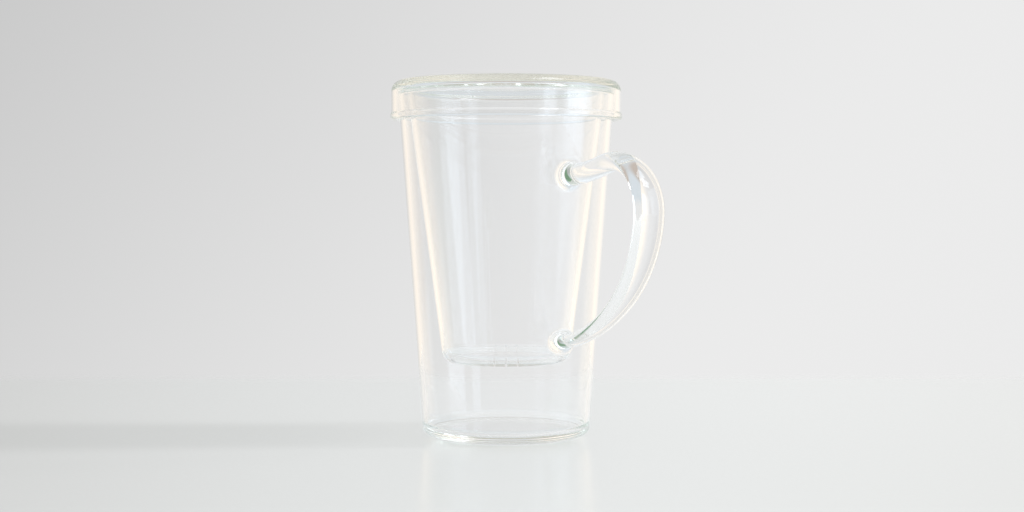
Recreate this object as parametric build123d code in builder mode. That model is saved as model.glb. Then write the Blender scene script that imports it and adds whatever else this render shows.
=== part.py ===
"""Lidded glass tea mug with a hanging glass infuser.

A tapered tumbler with a solid ear handle fused to its wall, a conical infuser hung on
the tumbler's rim by a flat lip, and a loose lid whose skirt goes round the rim.

Frame: the origin is the middle of the foot, on the mug's axis. +Z is up and +X points
to the handle. Lengths are millimetres, heights are above the table unless said otherwise.
"""

from build123d import *
import os
from math import cos, pi

# Mug body, outside
mug_height = 139.6          # table to the top of the rim
mug_rim_radius = 44.2       # outside of the wall at the rim
mug_foot_radius = 34.2      # outside of the wall where its line meets the table
mug_foot_round = 3.5        # corner between wall and foot
mug_wall = 2.0
mug_floor = 3.0
mug_well_round = 3.2        # inside corner between wall and floor

# Infuser, hung on the rim by its lip
seat_gap = 0.3              # play between stacked pieces: rim, lip and lid
lip_thickness = 1.6
lip_throat_round = 1.2      # under the lip, where it turns into the wall
lip_mouth_round = 1.5       # inside edge of the mouth
infuser_side_gap = 1.8      # between infuser and mug wall, just under the lip
infuser_floor_gap = 27.0    # between the infuser's underside and the mug's floor
infuser_foot_radius = 26.0  # outside of the wall where its line meets the underside
infuser_wall = 1.7
infuser_floor = 2.0
infuser_foot_round = 4.6
infuser_well_round = 3.4

# Fine saw-cut slits through the infuser's bottom corner, in groups round the foot
slit_width = 0.6
slit_pitch = 4.6
slit_height = 4.0           # from the underside up the wall
slit_inset = 7.0            # from the foot's outer edge in towards the middle
slits_in_group = 3
slit_groups = 4
infuser_turn = -36.0        # degrees; the infuser may sit at any turn

# Lid: a flat plate with a skirt outside the rim and a fire-polished bead at its edge
lid_plate = 3.2
lid_side_gap = 0.8          # between the lip's edge and the skirt
lid_skirt_wall = 2.0
lid_skirt_depth = 13.0      # below the underside of the plate
lid_edge_round = 3.0
lid_corner_round = 1.4
bead_height = 2.9
bead_swell = 0.4            # how far the bead stands out from each side of the skirt

# Handle: a solid rod drawn into an ear and fused to the wall at both ends
upper_root_drop = 33.6      # from the rim down to the upper root
root_spacing = 65.8         # between the two roots
arm_length = 22.4           # wall to the shoulder
arm_rise = 4.2              # upper root up to the shoulder
grip_stand_off = 47.4       # wall to the grip's middle
grip_drop = 15.4            # upper root down to the grip
elbow_stand_off = 32.4
elbow_rise = 18.4           # lower root up to the elbow
arm_rod = (9.0, 8.4)        # width across the handle, thickness in its plane
grip_rod = (14.2, 6.4)
tail_rod = (8.4, 5.6)
root_fillet = 3.0           # where the soft rod flowed out against the wall
root_sink = 3.5             # rod inside the wall line, cut away where it meets the wall
handle_stations = 22

# Rounded edges keep clear of half the wall that they round off
edge_share = 0.48

mug_taper = (mug_rim_radius - mug_foot_radius) / mug_height
lip_underside = mug_height + seat_gap
lip_top = lip_underside + lip_thickness
plate_underside = lip_top + seat_gap
lid_top = plate_underside + lid_plate
skirt_edge = plate_underside - lid_skirt_depth
infuser_underside = mug_floor + infuser_floor_gap
infuser_top_radius = mug_rim_radius - mug_wall - infuser_side_gap
skirt_inside = mug_rim_radius + lid_side_gap
lid_radius = skirt_inside + lid_skirt_wall


def mug_outside(height):
    """Outer radius of the mug's wall at a height."""
    return mug_foot_radius + mug_taper * height


def infuser_outside(height):
    """Outer radius of the infuser's wall at a height."""
    rise = (height - infuser_underside) / (lip_underside - infuser_underside)
    return infuser_foot_radius + (infuser_top_radius - infuser_foot_radius) * rise


def corner_near(profile, radius, height):
    """The corner of a half profile that lies nearest to a radius and a height."""
    return profile.vertices().sort_by_distance((radius, height, 0))[0]


# ---- Mug body -------------------------------------------------------------------------
with BuildPart() as mug_body:
    with BuildSketch(Plane.XZ) as mug_profile:
        with BuildLine():
            Polyline(
                (0, 0),
                (mug_foot_radius, 0),
                (mug_rim_radius, mug_height),
                (mug_rim_radius - mug_wall, mug_height),
                (mug_outside(mug_floor) - mug_wall, mug_floor),
                (0, mug_floor),
                close=True,
            )
        make_face()
        fillet(mug_profile.vertices().group_by(Axis.Y)[-1], edge_share * mug_wall)
        fillet(corner_near(mug_profile, mug_foot_radius, 0), mug_foot_round)
        fillet(corner_near(mug_profile, mug_outside(mug_floor) - mug_wall, mug_floor), mug_well_round)
    revolve(axis=Axis.Z)

mug_body.part.label = "mug_body"

# ---- Infuser --------------------------------------------------------------------------
infuser_well = infuser_underside + infuser_floor
well_radius = infuser_outside(infuser_well) - infuser_wall

with BuildPart() as infuser:
    with BuildSketch(Plane.XZ) as infuser_profile:
        with BuildLine():
            Polyline(
                (0, infuser_underside),
                (infuser_foot_radius, infuser_underside),
                (infuser_top_radius, lip_underside),
                (mug_rim_radius, lip_underside),
                (mug_rim_radius, lip_top),
                (infuser_top_radius - infuser_wall, lip_top),
                (well_radius, infuser_well),
                (0, infuser_well),
                close=True,
            )
        make_face()
        fillet(infuser_profile.vertices().group_by(Axis.X)[-1], edge_share * lip_thickness)
        fillet(corner_near(infuser_profile, infuser_top_radius - infuser_wall, lip_top), lip_mouth_round)
        fillet(corner_near(infuser_profile, infuser_top_radius, lip_underside), lip_throat_round)
        fillet(corner_near(infuser_profile, infuser_foot_radius, infuser_underside), infuser_foot_round)
        fillet(corner_near(infuser_profile, well_radius, infuser_well), infuser_well_round)
    revolve(axis=Axis.Z)

    # Each slit is a thin upright saw cut that goes in from outside the wall
    slit_length = slit_inset + infuser_outside(infuser_underside + slit_height) - infuser_foot_radius + 1
    slit_middle = infuser_foot_radius - slit_inset + slit_length / 2
    for group in range(slit_groups):
        group_turn = infuser_turn + 360 / slit_groups * group
        group_plane = Plane.XY.offset(infuser_underside + slit_height).rotated((0, 0, group_turn))
        with BuildSketch(group_plane):
            with Locations((slit_middle, 0)):
                with GridLocations(slit_length, slit_pitch, 1, slits_in_group):
                    Rectangle(slit_length, slit_width)
        extrude(amount=-2 * slit_height, mode=Mode.SUBTRACT)

infuser.part.label = "infuser"

# ---- Lid ------------------------------------------------------------------------------
with BuildPart() as lid:
    with BuildSketch(Plane.XZ) as lid_profile:
        with BuildLine():
            Polyline(
                (0, plate_underside),
                (skirt_inside, plate_underside),
                (skirt_inside, skirt_edge + bead_height / 2),
                (lid_radius, skirt_edge + bead_height / 2),
                (lid_radius, lid_top),
                (0, lid_top),
                close=True,
            )
        make_face()
        fillet(corner_near(lid_profile, lid_radius, lid_top), lid_edge_round)
        fillet(corner_near(lid_profile, skirt_inside, plate_underside), lid_corner_round)
        with Locations((skirt_inside + lid_skirt_wall / 2, skirt_edge + bead_height / 2)):
            RectangleRounded(
                lid_skirt_wall + 2 * bead_swell,
                bead_height,
                edge_share * min(bead_height, lid_skirt_wall + 2 * bead_swell),
            )
    revolve(axis=Axis.Z)

lid.part.label = "lid"

# ---- Handle ---------------------------------------------------------------------------
upper_root_height = mug_height - upper_root_drop
lower_root_height = upper_root_height - root_spacing
wall_line = mug_outside(upper_root_height)

with BuildLine(Plane.XZ) as handle_spine:
    # The arm leaves the wall level and bends up to the shoulder
    arm = TangentArc(
        (wall_line - root_sink, upper_root_height),
        (wall_line + arm_length, upper_root_height + arm_rise),
        tangent=(1, 0),
    )
    shoulder = TangentArc(
        arm @ 1,
        (wall_line + grip_stand_off, upper_root_height - grip_drop),
        tangent=arm % 1,
    )
    back = TangentArc(
        shoulder @ 1,
        (wall_line + elbow_stand_off, lower_root_height + elbow_rise),
        tangent=shoulder % 1,
    )
    tail = TangentArc(
        back @ 1,
        (mug_outside(lower_root_height) - root_sink, lower_root_height),
        tangent=back % 1,
    )

spine = handle_spine.wire()
grip_place = (arm.length + shoulder.length) / spine.length


def eased(start, end, share):
    """A value that turns gently from start to end as share goes from 0 to 1."""
    return start + (end - start) * (1 - cos(pi * share)) / 2


def rod_size(index, place):
    """Width (index 0) or thickness (index 1) of the drawn rod at a place from 0 to 1."""
    if place < grip_place:
        return eased(arm_rod[index], grip_rod[index], place / grip_place)
    return eased(grip_rod[index], tail_rod[index], (place - grip_place) / (1 - grip_place))


with BuildPart() as handle:
    for station in range(handle_stations + 1):
        place = eased(0, 1, station / handle_stations)
        section = Plane(origin=spine @ place, x_dir=(0, 1, 0), z_dir=spine % place)
        with BuildSketch(section):
            Ellipse(rod_size(0, place) / 2, rod_size(1, place) / 2)
    loft()
    # Both roots are filleted against a full cone with the wall's outside, which then comes
    # away again. Its seam is turned to the far side from the roots.
    wall_cone = Cone(
        mug_foot_radius,
        mug_rim_radius,
        mug_height,
        rotation=(0, 0, 180),
        align=(Align.CENTER, Align.CENTER, Align.MIN),
    )
    fillet(handle.edges(Select.NEW), root_fillet)
    add(wall_cone, mode=Mode.SUBTRACT)

handle.part.label = "handle"

# ---- One file for each piece ----------------------------------------------------------
os.makedirs("parts", exist_ok=True)
for piece in (mug_body, handle, infuser, lid):
    export_step(piece.part, f"parts/{piece.part.label}.step")
    print(f"{piece.part.label}: {piece.part.volume / 1000:.1f} cm3")
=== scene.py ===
"""Looks for the lidded glass tea mug with its hanging infuser: clear glass on a pale table.

Frame: metres, +Z up, the origin in the middle of the mug's foot, +X towards the handle.
The glass pieces are turned or swept afresh with finer facets than the solids have, because
clear glass shows every facet, and the handle is one continuous body of glass with the wall.
"""

from math import atan, cos, hypot, pi, radians, sin, tan

import bmesh
import bpy
from mathutils import Matrix, Vector


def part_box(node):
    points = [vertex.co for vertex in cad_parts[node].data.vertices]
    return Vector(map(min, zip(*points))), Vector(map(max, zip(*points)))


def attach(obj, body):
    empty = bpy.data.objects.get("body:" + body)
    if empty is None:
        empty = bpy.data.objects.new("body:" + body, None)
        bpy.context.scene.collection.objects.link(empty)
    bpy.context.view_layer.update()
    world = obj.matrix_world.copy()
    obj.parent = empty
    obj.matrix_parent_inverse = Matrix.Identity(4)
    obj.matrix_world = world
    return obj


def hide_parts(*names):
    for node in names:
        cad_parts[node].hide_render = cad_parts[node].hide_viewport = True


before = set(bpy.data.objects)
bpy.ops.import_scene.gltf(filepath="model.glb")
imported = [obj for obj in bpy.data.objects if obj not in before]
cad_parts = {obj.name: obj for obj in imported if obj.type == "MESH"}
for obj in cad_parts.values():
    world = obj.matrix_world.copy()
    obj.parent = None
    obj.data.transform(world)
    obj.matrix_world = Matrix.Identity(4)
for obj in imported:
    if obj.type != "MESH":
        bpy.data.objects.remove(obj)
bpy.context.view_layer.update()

MM = 0.001

# ---- Sizes of the glass -------------------------------------------------------------------
# They are the solids', but the lid's top edge and the shoulders of its bead are softer
mug_height = 139.6 * MM
mug_rim_radius = 44.2 * MM
mug_foot_radius = 34.2 * MM
mug_foot_round = 3.5 * MM
mug_wall = 2.0 * MM
mug_floor = 3.0 * MM
mug_well_round = 3.2 * MM
rim_round = 0.96 * MM

seat_gap = 0.3 * MM
lip_thickness = 1.6 * MM
lip_round = 0.75 * MM
lip_throat_round = 1.2 * MM
lip_mouth_round = 1.5 * MM
infuser_underside = 30.0 * MM
infuser_top_radius = 40.4 * MM
infuser_foot_radius = 26.0 * MM
infuser_wall = 1.7 * MM
infuser_floor = 2.0 * MM
infuser_foot_round = 4.6 * MM
infuser_well_round = 3.4 * MM

slit_width = 0.6 * MM
slit_pitch = 4.6 * MM
slit_height = 4.0 * MM
slit_inset = 7.0 * MM
slits_in_group = 3
slit_groups = 4
infuser_turn = radians(-36)
cut_overshoot = 4 * MM          # how far a saw cut goes on outside the infuser's foot

skirt_inside = 45.0 * MM
skirt_wall = 2.0 * MM
skirt_depth = 13.0 * MM
lid_edge_round = 4.5 * MM       # 1.5 mm more than the solid's, as fire polishing leaves it
lid_corner_round = 1.4 * MM
bead_height = 2.9 * MM
bead_swell = 0.4 * MM
bead_shoulder = 0.7 * MM        # from the bead's top down to its full width
bead_neck_round = 0.4 * MM
bead_shoulder_round = 0.5 * MM
bead_edge_round = 1.2 * MM

upper_root_drop = 33.6 * MM
root_spacing = 65.8 * MM
arm_length = 22.4 * MM
arm_rise = 4.2 * MM
grip_stand_off = 47.4 * MM
grip_drop = 15.4 * MM
elbow_stand_off = 32.4 * MM
elbow_rise = 18.4 * MM
arm_rod = (9.0 * MM, 8.4 * MM)
grip_rod = (14.2 * MM, 6.4 * MM)
tail_rod = (8.4 * MM, 5.6 * MM)
root_fillet = 3.0 * MM
spine_sink = 3.5 * MM           # how far the rod's middle line starts inside the wall's outside
root_sink = 1.0 * MM            # how far the rod's ends go into the wall before they are joined
root_end = 1.3 * root_fillet    # clear of the wall by this much, the rod has its plain section

mug_taper = (mug_rim_radius - mug_foot_radius) / mug_height
wall_slope = cos(atan(mug_taper))
lip_underside = mug_height + seat_gap
lip_top = lip_underside + lip_thickness
plate_underside = lip_top + seat_gap
lid_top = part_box("lid")[1].z
skirt_edge = plate_underside - skirt_depth
lid_radius = skirt_inside + skirt_wall

# ---- Fineness of the turned and swept shapes ----------------------------------------------
lathe_steps = 288
corner_steps = 10
ring_spacing = 2.5 * MM         # longest straight run between two rings of a wall
plate_ring_spacing = 4 * MM     # the same on the lid
rod_sides = 64
rod_stations = 110
arc_steps = (14, 26, 26, 22)    # along each arc of the handle's spine
fillet_steps = 9
root_reach = 0.3                # share of the spine in which each root lies
root_halvings = 40              # of that share, to find where a root's ring goes
sharp_angle = radians(38)
pole_weld = 0.001 * MM
joint_weld = 0.002 * MM

# ---- Camera -------------------------------------------------------------------------------
camera_turn = radians(-36)      # from the handle round to the camera, seen from above
camera_distance = 667 * MM
camera_height = 100 * MM
camera_pitch = radians(2.3)
camera_yaw = radians(0.205)
camera_lens = 57.09             # mm, like the sensor's width below
camera_sensor = 36

to_camera = Vector((cos(camera_turn), sin(camera_turn), 0))
to_right = Vector((-sin(camera_turn), cos(camera_turn), 0))
upwards = Vector((0, 0, 1))


def mug_outside(height):
    """Outer radius of the mug's wall at a height."""
    return mug_foot_radius + mug_taper * height


def infuser_outside(height):
    """Outer radius of the infuser's wall at a height."""
    rise = (height - infuser_underside) / (lip_underside - infuser_underside)
    return infuser_foot_radius + (infuser_top_radius - infuser_foot_radius) * rise


# ---- Making turned and swept glass --------------------------------------------------------
def half_profile(corners):
    """A bmesh with a half profile in it. Each corner is (radius, height, rounding)."""
    bm = bmesh.new()
    verts = [bm.verts.new((radius, 0, height)) for radius, height, _ in corners]
    for start, end in zip(verts, verts[1:]):
        bm.edges.new((start, end))
    for vert, (_, _, rounding) in zip(verts, corners):
        if rounding:
            arms = [edge.other_vert(vert).co - vert.co for edge in vert.link_edges]
            setback = rounding / tan(arms[0].angle(arms[1]) / 2)
            bmesh.ops.bevel(
                bm,
                geom=[vert],
                offset=setback,
                offset_type="OFFSET",
                segments=corner_steps,
                profile=0.5,
                affect="VERTICES",
                material=-1,
            )
    return bm


def split_long_edges(bm, longest):
    """Divides the profile's long straight runs, so that normals stay local to each ring."""
    for edge in [edge for edge in bm.edges if edge.calc_length() > longest]:
        bmesh.ops.subdivide_edges(bm, edges=[edge], cuts=int(edge.calc_length() / longest))


def turn_round(bm):
    """Spins a half profile right round the axis and closes its poles."""
    bmesh.ops.spin(
        bm,
        geom=bm.verts[:] + bm.edges[:],
        cent=(0, 0, 0),
        axis=(0, 0, 1),
        dvec=(0, 0, 0),
        angle=2 * pi,
        steps=lathe_steps,
        use_merge=True,
        use_duplicate=False,
    )
    bmesh.ops.remove_doubles(bm, verts=bm.verts, dist=pole_weld)
    bmesh.ops.recalc_face_normals(bm, faces=bm.faces)
    return bm


def mark_sharp_edges(bm):
    """Breaks the smooth shading over sharp edges."""
    for edge in bm.edges:
        edge.smooth = not (edge.is_manifold and edge.calc_face_angle() > sharp_angle)


def make_object(name, bm):
    """An object at the origin from a bmesh, shaded smooth except over sharp edges."""
    for face in bm.faces:
        face.smooth = True
    mark_sharp_edges(bm)
    mesh = bpy.data.meshes.new(name)
    bm.to_mesh(mesh)
    bm.free()
    piece = bpy.data.objects.new(name, mesh)
    bpy.context.scene.collection.objects.link(piece)
    return piece


def combine(piece, other, operation):
    """Joins another closed shape to a piece, or cuts it out, and removes the other."""
    boolean = piece.modifiers.new("combine", "BOOLEAN")
    boolean.operation = operation
    boolean.solver = "EXACT"
    boolean.object = other
    bpy.context.view_layer.update()
    evaluated = piece.evaluated_get(bpy.context.evaluated_depsgraph_get())
    mesh = bpy.data.meshes.new_from_object(evaluated)
    piece.modifiers.remove(boolean)
    bpy.data.objects.remove(other)
    bm = bmesh.new()
    bm.from_mesh(mesh)
    bmesh.ops.remove_doubles(bm, verts=bm.verts, dist=joint_weld)
    bmesh.ops.dissolve_degenerate(bm, edges=bm.edges, dist=joint_weld)
    mark_sharp_edges(bm)
    bm.to_mesh(mesh)
    bm.free()
    piece.data = mesh
    return piece


def even_normals(piece):
    """Lets the large faces set the shading where a flat or a cone runs into a rounding."""
    weighted = piece.modifiers.new("even normals", "WEIGHTED_NORMAL")
    weighted.mode = "FACE_AREA"
    weighted.keep_sharp = True


# ---- Mug body -----------------------------------------------------------------------------
well_corner = mug_outside(mug_floor) - mug_wall
mug_profile = half_profile([
    (0, 0, 0),
    (mug_foot_radius, 0, mug_foot_round),
    (mug_rim_radius, mug_height, rim_round),
    (mug_rim_radius - mug_wall, mug_height, rim_round),
    (well_corner, mug_floor, mug_well_round),
    (0, mug_floor, 0),
])
split_long_edges(mug_profile, ring_spacing)
mug = make_object("mug_with_handle", turn_round(mug_profile))


# ---- Handle -------------------------------------------------------------------------------
def tangent_arc(start, heading, end, steps):
    """Points and headings along the arc that leaves start in a heading and reaches end."""
    chord = end - start
    left = Vector((-heading.y, heading.x))
    bend = 2 * chord.dot(left) / chord.length_squared
    sweep = 2 * atan(chord.dot(left) / chord.dot(heading))
    if sweep * bend < 0:
        sweep += 2 * pi if bend > 0 else -2 * pi
    centre = start + left / bend
    stops = []
    for step in range(steps + 1):
        turn = Matrix.Rotation(sweep * step / steps, 2)
        stops.append((centre + turn @ (start - centre), turn @ heading))
    return stops


upper_root = mug_height - upper_root_drop
lower_root = upper_root - root_spacing
wall_line = mug_outside(upper_root)
spine_ends = [
    Vector((wall_line + arm_length, upper_root + arm_rise)),
    Vector((wall_line + grip_stand_off, upper_root - grip_drop)),
    Vector((wall_line + elbow_stand_off, lower_root + elbow_rise)),
    Vector((mug_outside(lower_root) - spine_sink, lower_root)),
]
spine = [(Vector((wall_line - spine_sink, upper_root)), Vector((1, 0)))]
for end, steps in zip(spine_ends, arc_steps):
    spine += tangent_arc(*spine[-1], end, steps)[1:]

lengths = [0]
for (here, _), (after, _) in zip(spine, spine[1:]):
    lengths.append(lengths[-1] + (after - here).length)
grip_length = lengths[arc_steps[0] + arc_steps[1]]


def spine_at(length):
    """Point and heading of the handle's spine at a length from its upper end."""
    index = max(i for i, reached in enumerate(lengths[:-1]) if reached <= length)
    share = (length - lengths[index]) / (lengths[index + 1] - lengths[index])
    point = spine[index][0].lerp(spine[index + 1][0], share)
    heading = spine[index][1].lerp(spine[index + 1][1], share).normalized()
    return point, heading


def eased(start, end, share):
    """A value that turns gently from start to end as share goes from 0 to 1."""
    return start + (end - start) * (1 - cos(pi * share)) / 2


def rod_half_sizes(length):
    """Half width and half thickness of the drawn rod at a length along its spine."""
    if length < grip_length:
        share = length / grip_length
        return [eased(a, b, share) / 2 for a, b in zip(arm_rod, grip_rod)]
    share = (length - grip_length) / (lengths[-1] - grip_length)
    return [eased(a, b, share) / 2 for a, b in zip(grip_rod, tail_rod)]


def clearance(point):
    """How far a point of the spine is outside the mug's wall."""
    return (point.x - mug_outside(point.y)) * wall_slope


def length_at_clearance(clear, from_top):
    """Where the spine has a given clearance from the wall, near one of its roots."""
    if from_top:
        low, high = 0, lengths[-1] * root_reach
    else:
        low, high = lengths[-1], lengths[-1] * (1 - root_reach)
    for _ in range(root_halvings):
        middle = (low + high) / 2
        if clearance(spine_at(middle)[0]) < clear:
            low = middle
        else:
            high = middle
    return (low + high) / 2


def add_ring(bm, length, spread=0, clear=None):
    """One section of the rod. With clear, it lies on the surface that far from the wall."""
    point, heading = spine_at(length)
    width, thickness = rod_half_sizes(length)
    across = Vector((0, 1, 0))
    along = Vector((heading.x, 0, heading.y))
    up = along.cross(across)
    place = (
        Matrix.Translation((point.x, 0, point.y))
        @ Matrix((across, up, along)).transposed().to_4x4()
    )
    size = Matrix.Diagonal((width + spread, thickness + spread, 1, 1))
    ring = bmesh.ops.create_circle(
        bm, cap_ends=False, segments=rod_sides, radius=1, matrix=place @ size,
    )
    if clear is not None:
        for vert in ring["verts"]:
            radius = mug_outside(vert.co.z) + clear / wall_slope
            vert.co.xy *= radius / hypot(vert.co.x, vert.co.y)
    return list({edge for vert in ring["verts"] for edge in vert.link_edges})


# The rod runs from root to root, and at each root its rings spread out into the fillet
handle = bmesh.new()
fillet_turns = [pi / 2 * step / fillet_steps for step in range(fillet_steps + 1)]
root_rings = [(-root_sink, root_fillet)] + [
    (root_fillet * (1 - cos(turn)), root_fillet * (1 - sin(turn))) for turn in fillet_turns
]
rings = []
for clear, spread in root_rings:
    rings.append(add_ring(handle, length_at_clearance(clear, True), spread, clear))
first = length_at_clearance(root_end, True)
last = length_at_clearance(root_end, False)
for station in range(rod_stations + 1):
    rings.append(add_ring(handle, first + (last - first) * station / rod_stations))
for clear, spread in reversed(root_rings):
    rings.append(add_ring(handle, length_at_clearance(clear, False), spread, clear))
for ring, following in zip(rings, rings[1:]):
    bmesh.ops.bridge_loops(handle, edges=ring + following)
for ring in (rings[0], rings[-1]):
    bmesh.ops.edgeloop_fill(handle, edges=ring)
bmesh.ops.recalc_face_normals(handle, faces=handle.faces)
mug = combine(mug, make_object("handle_rod", handle), "UNION")

# ---- Infuser ------------------------------------------------------------------------------
infuser_well = infuser_underside + infuser_floor
infuser_profile = half_profile([
    (0, infuser_underside, 0),
    (infuser_foot_radius, infuser_underside, infuser_foot_round),
    (infuser_top_radius, lip_underside, lip_throat_round),
    (mug_rim_radius, lip_underside, lip_round),
    (mug_rim_radius, lip_top, lip_round),
    (infuser_top_radius - infuser_wall, lip_top, lip_mouth_round),
    (infuser_outside(infuser_well) - infuser_wall, infuser_well, infuser_well_round),
    (0, infuser_well, 0),
])
split_long_edges(infuser_profile, ring_spacing)
infuser = make_object("infuser_glass", turn_round(infuser_profile))

# The saw cuts run in from outside the wall through its bottom corner
cuts = bmesh.new()
cut_start = infuser_foot_radius - slit_inset
cut_length = slit_inset + cut_overshoot
cut_top = infuser_underside + slit_height
cut_depth = 2 * slit_height
for group in range(slit_groups):
    turn = Matrix.Rotation(infuser_turn + 2 * pi / slit_groups * group, 4, "Z")
    for slit in range(slits_in_group):
        aside = (slit - (slits_in_group - 1) / 2) * slit_pitch
        middle = Matrix.Translation((cut_start + cut_length / 2, aside, cut_top - cut_depth / 2))
        size = Matrix.Diagonal((cut_length, slit_width, cut_depth, 1))
        bmesh.ops.create_cube(cuts, size=1, matrix=turn @ middle @ size)
infuser = combine(infuser, make_object("saw_cuts", cuts), "DIFFERENCE")

# ---- Lid ----------------------------------------------------------------------------------
bead_top = skirt_edge + bead_height
bead_inside = skirt_inside - bead_swell
bead_outside = lid_radius + bead_swell
lid_profile = half_profile([
    (0, plate_underside, 0),
    (skirt_inside, plate_underside, lid_corner_round),
    (skirt_inside, bead_top, bead_neck_round),
    (bead_inside, bead_top - bead_shoulder, bead_shoulder_round),
    (bead_inside, skirt_edge, bead_edge_round),
    (bead_outside, skirt_edge, bead_edge_round),
    (bead_outside, bead_top - bead_shoulder, bead_shoulder_round),
    (lid_radius, bead_top, bead_neck_round),
    (lid_radius, lid_top, lid_edge_round),
    (0, lid_top, 0),
])
split_long_edges(lid_profile, plate_ring_spacing)
lid = make_object("lid_glass", turn_round(lid_profile))

for piece, body, nodes in (
    (mug, "mug", ("mug_body", "handle")),
    (infuser, "infuser", ("infuser",)),
    (lid, "lid", ("lid",)),
):
    even_normals(piece)
    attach(piece, body)
    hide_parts(*nodes)


# ---- Materials ----------------------------------------------------------------------------
def linear(colour):
    """Linear RGBA of an sRGB hex colour."""
    channels = [int(colour[i:i + 2], 16) / 255 for i in (1, 3, 5)]
    return [c / 12.92 if c <= 0.04045 else ((c + 0.055) / 1.055) ** 2.4 for c in channels] + [1]


def add(tree, kind, values=None, links=None, **settings):
    """Adds a node with its settings, input values and links into its inputs."""
    node = tree.nodes.new(kind)
    for name, value in settings.items():
        setattr(node, name, value)
    for socket, value in (values or {}).items():
        node.inputs[socket].default_value = value
    for socket, output in (links or {}).items():
        tree.links.new(output, node.inputs[socket])
    return node


def new_tree(name):
    """A material with an empty node tree."""
    material = bpy.data.materials.new(name)
    material.use_nodes = True
    material.node_tree.nodes.clear()
    return material, material.node_tree


# ---- Glass --------------------------------------------------------------------------------
draw_slimness = 0.12            # a draw line's width as a share of its length
handle_fade = 8 * MM            # past the rim's radius the lines fade out within this
upright_lean = (0.2, 0.45)      # they also fade as the normal's upward part grows so
led_long = 22.5                 # more surfaces than light meets on a plain way through
leak_fade = 2 * MM              # past the foot's radius the handle's painted green shade comes in within this

# Shares of the light, red to blue, that go on at each surface
plain_leak = (0.97, 0.98, 0.97, 1)
# Painted shade for the handle's side: it dims the light led round there and darkens the roots'
# glints green
painted_green_shade = (0.80, 0.86, 0.81, 1)
room_light_kept = (0.985, 0.985, 0.985, 1)
lamp_light_kept = (0.958, 0.958, 0.955, 1)


def clear_glass(name, draw_spacing, ripple, leak, tint, tint_density):
    """Borosilicate glass, flame-worked and fire-polished: colourless and mirror smooth, with
    long faint draw lines up the wall that bend what shows through it, and a faint tint that
    only shows where light runs along the glass. Only upright walls have draw lines, and the
    handle has none. The leak is for the handle's side, where the glass is at its thickest."""
    material, tree = new_tree(name)
    place = add(tree, "ShaderNodeTexCoord")
    stretch = add(
        tree, "ShaderNodeMapping",
        {"Scale": (1 / draw_spacing, 1 / draw_spacing, draw_slimness / draw_spacing)},
        {"Vector": place.outputs["Object"]},
    )
    lines = add(
        tree, "ShaderNodeTexNoise",
        {"Scale": 1.0, "Detail": 2.0, "Roughness": 0.4},
        {"Vector": stretch.outputs["Vector"]},
    )
    aside = add(tree, "ShaderNodeSeparateXYZ", None, {0: place.outputs["Object"]})
    on_wall = add(
        tree, "ShaderNodeMapRange",
        {
            "From Min": mug_rim_radius,
            "From Max": mug_rim_radius + handle_fade,
            "To Min": 1.0,
            "To Max": 0.0,
        },
        {"Value": aside.outputs["X"]},
        interpolation_type="SMOOTHSTEP",
    )
    normal = add(tree, "ShaderNodeSeparateXYZ", None, {0: place.outputs["Normal"]})
    lean = add(tree, "ShaderNodeMath", None, {0: normal.outputs["Z"]}, operation="ABSOLUTE")
    upright = add(
        tree, "ShaderNodeMapRange",
        {
            "From Min": upright_lean[0],
            "From Max": upright_lean[1],
            "To Min": 1.0,
            "To Max": 0.0,
        },
        {"Value": lean.outputs["Value"]},
        interpolation_type="SMOOTHSTEP",
    )
    drawn = add(
        tree, "ShaderNodeMath", None,
        {0: on_wall.outputs["Result"], 1: upright.outputs["Result"]},
        operation="MULTIPLY",
    )
    bump = add(
        tree, "ShaderNodeBump",
        {"Distance": ripple},
        {"Strength": drawn.outputs["Value"], "Height": lines.outputs["Fac"]},
    )
    glass = add(
        tree, "ShaderNodeBsdfPrincipled",
        {
            "Base Color": linear("#FFFFFF"),
            "Roughness": 0.0,
            "IOR": 1.474,
            "Transmission Weight": 1.0,
        },
        {"Normal": bump.outputs["Normal"]},
    )
    # Light that the glass has led round for long leaks out, a little dimmer at each surface
    path = add(tree, "ShaderNodeLightPath")
    trapped = add(
        tree, "ShaderNodeMath", {1: led_long}, {0: path.outputs["Ray Depth"]},
        operation="GREATER_THAN",
    )
    # On the handle's side the leak takes the given colour, painted shade that darkens the roots'
    # glints
    handle_shade_mask = add(
        tree, "ShaderNodeMapRange",
        {"From Min": mug_foot_radius, "From Max": mug_foot_radius + leak_fade},
        {"Value": aside.outputs["X"]},
        interpolation_type="SMOOTHSTEP",
    )
    leak_tone = add(
        tree, "ShaderNodeMix",
        {"A": plain_leak, "B": leak},
        {"Factor": handle_shade_mask.outputs["Result"]},
        data_type="RGBA",
    )
    leaking = add(
        tree, "ShaderNodeBsdfTransparent", None, {"Color": leak_tone.outputs["Result"]},
    )
    surface = add(
        tree, "ShaderNodeMixShader", None,
        {0: trapped.outputs["Value"], 1: glass.outputs["BSDF"], 2: leaking.outputs["BSDF"]},
    )
    # Light on its way to the table goes straight through, a little dimmed at each surface:
    # the room's as diffuse rays, the lamps' as shadow rays
    for ray, kept in (("Is Diffuse Ray", room_light_kept), ("Is Shadow Ray", lamp_light_kept)):
        dimmed = add(tree, "ShaderNodeBsdfTransparent", {"Color": kept})
        surface = add(
            tree, "ShaderNodeMixShader", None,
            {0: path.outputs[ray], 1: surface.outputs["Shader"], 2: dimmed.outputs["BSDF"]},
        )
    tinted = add(
        tree, "ShaderNodeVolumeAbsorption",
        {"Color": linear(tint), "Density": tint_density},
    )
    add(
        tree, "ShaderNodeOutputMaterial", None,
        {"Surface": surface.outputs["Shader"], "Volume": tinted.outputs["Volume"]},
    )
    return material
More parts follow.
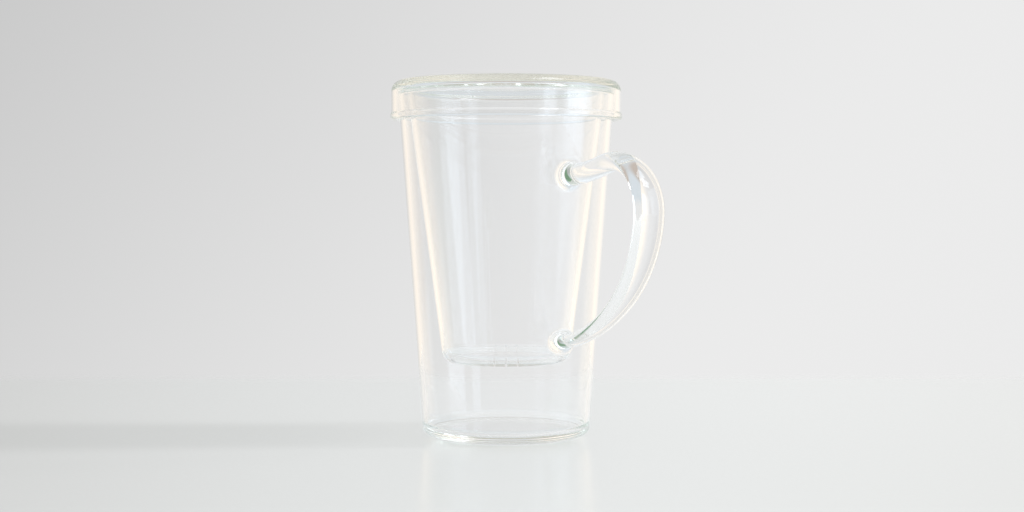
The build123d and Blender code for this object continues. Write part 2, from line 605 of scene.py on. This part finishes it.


# Blown and flame-worked: soft draw lines, and painted green shade in the light led round by the
# handle
worked_glass = clear_glass(
    "borosilicate_glass_flame_worked",
    draw_spacing=9 * MM,
    ripple=0.012 * MM,
    leak=painted_green_shade,
    tint="#BCE1A0",
    tint_density=0.4,
)
# Drawn thin: the draw lines are closer together
thin_glass = clear_glass(
    "borosilicate_glass_thin_drawn",
    draw_spacing=7 * MM,
    ripple=0.012 * MM,
    leak=plain_leak,
    tint="#BCE1A0",
    tint_density=0.4,
)
# Pressed in a mould: broad, shallow waves, and a thick plate that shows olive at its edge
pressed_glass = clear_glass(
    "borosilicate_glass_pressed",
    draw_spacing=30 * MM,
    ripple=0.006 * MM,
    leak=plain_leak,
    tint="#C3BC6C",
    tint_density=3.0,
)
for piece, glass in ((mug, worked_glass), (infuser, thin_glass), (lid, pressed_glass)):
    piece.data.materials.clear()
    piece.data.materials.append(glass)

# ---- Camera in place ----------------------------------------------------------------------
camera_data = bpy.data.cameras.new("camera")
camera_data.lens = camera_lens
camera_data.sensor_width = camera_sensor
camera_data.clip_start = 10 * MM
camera = bpy.data.objects.new("camera", camera_data)
bpy.context.scene.collection.objects.link(camera)
camera.location = to_camera * camera_distance + upwards * camera_height
look = Matrix.Rotation(-camera_yaw, 3, "Z") @ (
    -to_camera * cos(camera_pitch) - upwards * sin(camera_pitch)
)
camera.rotation_euler = look.to_track_quat("-Z", "Y").to_euler()
bpy.context.scene.camera = camera

# ---- Table --------------------------------------------------------------------------------
table_width = 3.0
table_depth = 1.6
table_behind = 0.225            # from the mug's middle to the table's far edge
table_drop = 0.2 * MM           # keeps its face clear of the mug's underside
edge_blur = 0.055               # the far edge is out of focus
laminate_grain = 1.5 * MM       # far coarser than the real one, which is too fine to show
grain_span = (0.3, 0.7)         # the noise hardly leaves this range
satin_roughness = (0.19, 0.21)
painted_light_falloff = (0.04, 0.32)      # to either side of the middle, where the painted pool of light is palest
painted_pool_slant = 0.24               # the painted pool of light widens this much to the back

table = bmesh.new()
bmesh.ops.create_grid(
    table,
    x_segments=1,
    y_segments=1,
    size=0.5,
    matrix=(
        Matrix.Rotation(camera_turn, 4, "Z")
        @ Matrix.Translation((table_depth / 2 - table_behind, 0, -table_drop))
        @ Matrix.Diagonal((table_depth, table_width, 1, 1))
    ),
)
table = make_object("table", table)

# White laminate: a satin sheet that mirrors softly at a low angle. Its colour is painted palest
# round
#  the mug and duller to both sides, a painted pool of light, and its far edge melts into the
#  backdrop.
laminate, tree = new_tree("white_laminate_satin")
place = add(tree, "ShaderNodeTexCoord")
grain = add(
    tree, "ShaderNodeTexNoise",
    {"Scale": 1 / laminate_grain, "Detail": 3.0},
    {"Vector": place.outputs["Object"]},
)
satin = add(
    tree, "ShaderNodeMapRange",
    {
        "From Min": grain_span[0],
        "From Max": grain_span[1],
        "To Min": satin_roughness[0],
        "To Max": satin_roughness[1],
    },
    {"Value": grain.outputs["Fac"]},
)
aside = add(
    tree, "ShaderNodeVectorMath", {1: to_right}, {0: place.outputs["Object"]},
    operation="DOT_PRODUCT",
)
off_middle = add(
    tree, "ShaderNodeMath", None, {0: aside.outputs["Value"]},
    operation="ABSOLUTE",
)
reach = add(
    tree, "ShaderNodeVectorMath", {1: -to_camera}, {0: place.outputs["Object"]},
    operation="DOT_PRODUCT",
)
off_painted_pool = add(
    tree, "ShaderNodeMath", {1: -painted_pool_slant},
    {0: reach.outputs["Value"], 2: off_middle.outputs["Value"]},
    operation="MULTIPLY_ADD",
)
painted_pool_falloff = add(
    tree, "ShaderNodeMapRange",
    {"From Min": painted_light_falloff[0], "From Max": painted_light_falloff[1]},
    {"Value": off_painted_pool.outputs["Value"]},
    interpolation_type="SMOOTHSTEP",
)
# Painted pool of light: the sheet's colour goes from pale round the mug to dimmer at both sides
tone = add(
    tree, "ShaderNodeMix",
    {"A": linear("#E4E8E9"), "B": linear("#D7D9D9")},
    {"Factor": painted_pool_falloff.outputs["Result"]},
    data_type="RGBA",
)
# Seen through the glass the sheet is painted brighter and cooler: painted light, not a colour of
# its own
path = add(tree, "ShaderNodeLightPath")
tone = add(
    tree, "ShaderNodeMix",
    {"B": linear("#E9ECEE")},
    {"Factor": path.outputs["Is Transmission Ray"], "A": tone.outputs["Result"]},
    data_type="RGBA",
)
sheet = add(
    tree, "ShaderNodeBsdfPrincipled",
    {"IOR": 1.45},
    {"Base Color": tone.outputs["Result"], "Roughness": satin.outputs["Result"]},
)
fade = add(
    tree, "ShaderNodeMapRange",
    {"From Min": table_behind - edge_blur, "From Max": table_behind},
    {"Value": reach.outputs["Value"]},
    interpolation_type="SMOOTHSTEP",
)
gone = add(tree, "ShaderNodeBsdfTransparent")
mixed = add(
    tree, "ShaderNodeMixShader", None,
    {0: fade.outputs["Result"], 1: sheet.outputs["BSDF"], 2: gone.outputs["BSDF"]},
)
add(tree, "ShaderNodeOutputMaterial", None, {"Surface": mixed.outputs["Shader"]})
table.data.materials.append(laminate)

# ---- Room ---------------------------------------------------------------------------------
# The main camera sees a pale backdrop, brighter to the lower right. Warm flats stand beside
# it, just out of that camera's view. The glass also shows a cool upper wall, a wooden ceiling
# and, where it has turned the light back more than once, greenery far to the left. What a ray
# sees of the room depends on its kind, so no ray is aimed at it on purpose.
world = bpy.data.worlds.new("studio")
bpy.context.scene.world = world
world.use_nodes = True
world.cycles.sampling_method = "NONE"
tree = world.node_tree
tree.nodes.clear()

# How far a ray leans towards each direction, as a cosine
ray = add(tree, "ShaderNodeTexCoord")
leans = {}
for name, direction in (
    ("right", to_right),
    ("camera", to_camera),
    ("up", upwards),
    ("lower right", to_right - 0.7 * upwards),
):
    lean = add(
        tree, "ShaderNodeVectorMath", {1: direction}, {0: ray.outputs["Generated"]},
        operation="DOT_PRODUCT",
    )
    leans[name] = lean.outputs["Value"]
for name, signed in (("aside", "right"), ("off level", "up")):
    lean = add(tree, "ShaderNodeMath", None, {0: leans[signed]}, operation="ABSOLUTE")
    leans[name] = lean.outputs["Value"]

# Each zone comes in softly between two leans, from where it has no share to where it has all
zones = {}
for name, lean, none, full in (
    ("flats begin", "aside", 0.10, 0.45),
    ("flats end", "aside", 0.85, 0.60),
    ("behind the mug", "camera", 0.0, -0.4),
    ("near level", "off level", 0.45, 0.25),
    ("beside the view", "aside", 0.32, 0.50),
    ("behind the camera", "camera", 0.1, 0.5),
    ("upper wall", "up", 0.12, 0.35),
    ("ceiling", "up", 0.70, 0.87),
    ("far left", "right", -0.84, -0.92),
):
    zone = add(
        tree, "ShaderNodeMapRange",
        {"From Min": none, "From Max": full},
        {"Value": leans[lean]},
        interpolation_type="SMOOTHSTEP",
    )
    zones[name] = zone.outputs["Result"]

# What shows in the zones, with a strength of 1 as white
backdrop_strength = add(
    tree, "ShaderNodeMapRange",
    {"From Min": -0.75, "From Max": 0.25, "To Min": 0.485, "To Max": 0.835},
    {"Value": leans["lower right"]},
    interpolation_type="SMOOTHSTEP",
)
tones = {
    "backdrop": add(
        tree, "ShaderNodeBackground",
        {"Color": linear("#FFFFFF")},
        {"Strength": backdrop_strength.outputs["Result"]},
    ),
}
for name, colour, strength in (
    ("room light", "#FFFFFF", 0.50),
    ("upper wall", "#EAF2F8", 0.85),
    ("flats in the glass", "#FFF5E8", 1.15),
    ("flats seen directly", "#FFF5E8", 0.92),
    ("ceiling", "#C6BAB0", 1.0),
    ("greenery", "#7F9F84", 1.0),
):
    tones[name] = add(
        tree, "ShaderNodeBackground", {"Color": linear(colour), "Strength": strength},
    )

# Which rays see them. A depth halfway between two whole numbers parts the rays cleanly.
path = add(tree, "ShaderNodeLightPath")
seeing = add(
    tree, "ShaderNodeMath", {0: 1.0}, {1: path.outputs["Is Diffuse Ray"]},
    operation="SUBTRACT",
).outputs["Value"]
past_glass = add(
    tree, "ShaderNodeMath", {1: 0.5}, {0: path.outputs["Transmission Depth"]},
    operation="GREATER_THAN",
).outputs["Value"]
turned_back = add(
    tree, "ShaderNodeMath", {1: 1.5}, {0: path.outputs["Glossy Depth"]},
    operation="GREATER_THAN",
).outputs["Value"]
in_glass = [past_glass, seeing]
direct = path.outputs["Is Camera Ray"]
flats = [zones[name] for name in ("flats begin", "flats end", "behind the mug", "near level")]

# Later lines go over earlier ones, each by the product of its shares
shown = tones["room light"].outputs["Background"]
for tone, shares in (
    ("backdrop", [path.outputs["Is Glossy Ray"]]),
    ("backdrop", [path.outputs["Is Transmission Ray"]]),
    ("backdrop", [direct]),
    ("room light", [seeing, zones["behind the camera"]]),
    ("upper wall", in_glass + [zones["upper wall"]]),
    ("flats in the glass", in_glass + flats),
    ("flats seen directly", [direct] + flats + [zones["beside the view"]]),
    ("ceiling", in_glass + [zones["ceiling"]]),
    ("greenery", in_glass + [turned_back, zones["far left"]]),
):
    share = shares[0]
    for other in shares[1:]:
        both = add(tree, "ShaderNodeMath", None, {0: share, 1: other}, operation="MULTIPLY")
        share = both.outputs["Value"]
    mix = add(
        tree, "ShaderNodeMixShader", None,
        {0: share, 1: shown, 2: tones[tone].outputs["Background"]},
    )
    shown = mix.outputs["Shader"]
add(tree, "ShaderNodeOutputWorld", None, {"Surface": shown})

# ---- Lamps --------------------------------------------------------------------------------
aim = Vector((0, 0, 70 * MM))   # in the middle of the mug


def softbox(name, bearing, distance, height, size, radiance, colour):
    """A soft panel that faces the mug. Its bearing is from the camera's side round to the
    right, and its radiance is what the glass shows of it, with 1 as white."""
    lamp = bpy.data.lights.new(name, "AREA")
    lamp.shape = "RECTANGLE"
    lamp.size, lamp.size_y = size
    lamp.energy = radiance * pi * size[0] * size[1]
    lamp.color = linear(colour)[:3]
    panel = bpy.data.objects.new(name, lamp)
    bpy.context.scene.collection.objects.link(panel)
    turn = radians(bearing)
    outward = to_camera * cos(turn) + to_right * sin(turn)
    panel.location = outward * distance + upwards * height
    panel.rotation_euler = (aim - panel.location).to_track_quat("-Z", "Y").to_euler()
    panel.visible_camera = True     # a new lamp would be hidden
    return panel


softbox(
    "window", bearing=78, distance=2.2, height=0.55,
    size=(1.2, 1.6), radiance=1.45, colour="#DFEEFF",
)
softbox(
    "window_pane", bearing=44.5, distance=2.2, height=0.55,
    size=(0.5, 1.6), radiance=1.05, colour="#DFEEFF",
)
# The sky through a high window: only seen, in the glass and on the table's sheen
sky = softbox(
    "window_sky", bearing=70, distance=1.2, height=2.2,
    size=(1.0, 0.7), radiance=4.5, colour="#EEF6FF",
)
sky.visible_diffuse = False
# Daylight from the right: it throws the mug's shadow and isn't seen itself
key = softbox(
    "low_window", bearing=92, distance=5.0, height=1.8,
    size=(0.6, 1.2), radiance=195.0, colour="#FFFBF5",
)
key.visible_camera = False
key.visible_glossy = False
key.visible_transmission = False

# ---- Render settings ----------------------------------------------------------------------
led_bounces = 64                # enough for light that the walls lead round
straight_bounces = 32           # and for light that goes straight on to the table

scene = bpy.context.scene
scene.view_settings.view_transform = "Standard"
scene.cycles.max_bounces = led_bounces
scene.cycles.transmission_bounces = led_bounces
scene.cycles.glossy_bounces = led_bounces
scene.cycles.transparent_max_bounces = straight_bounces
scene.cycles.use_denoising = True
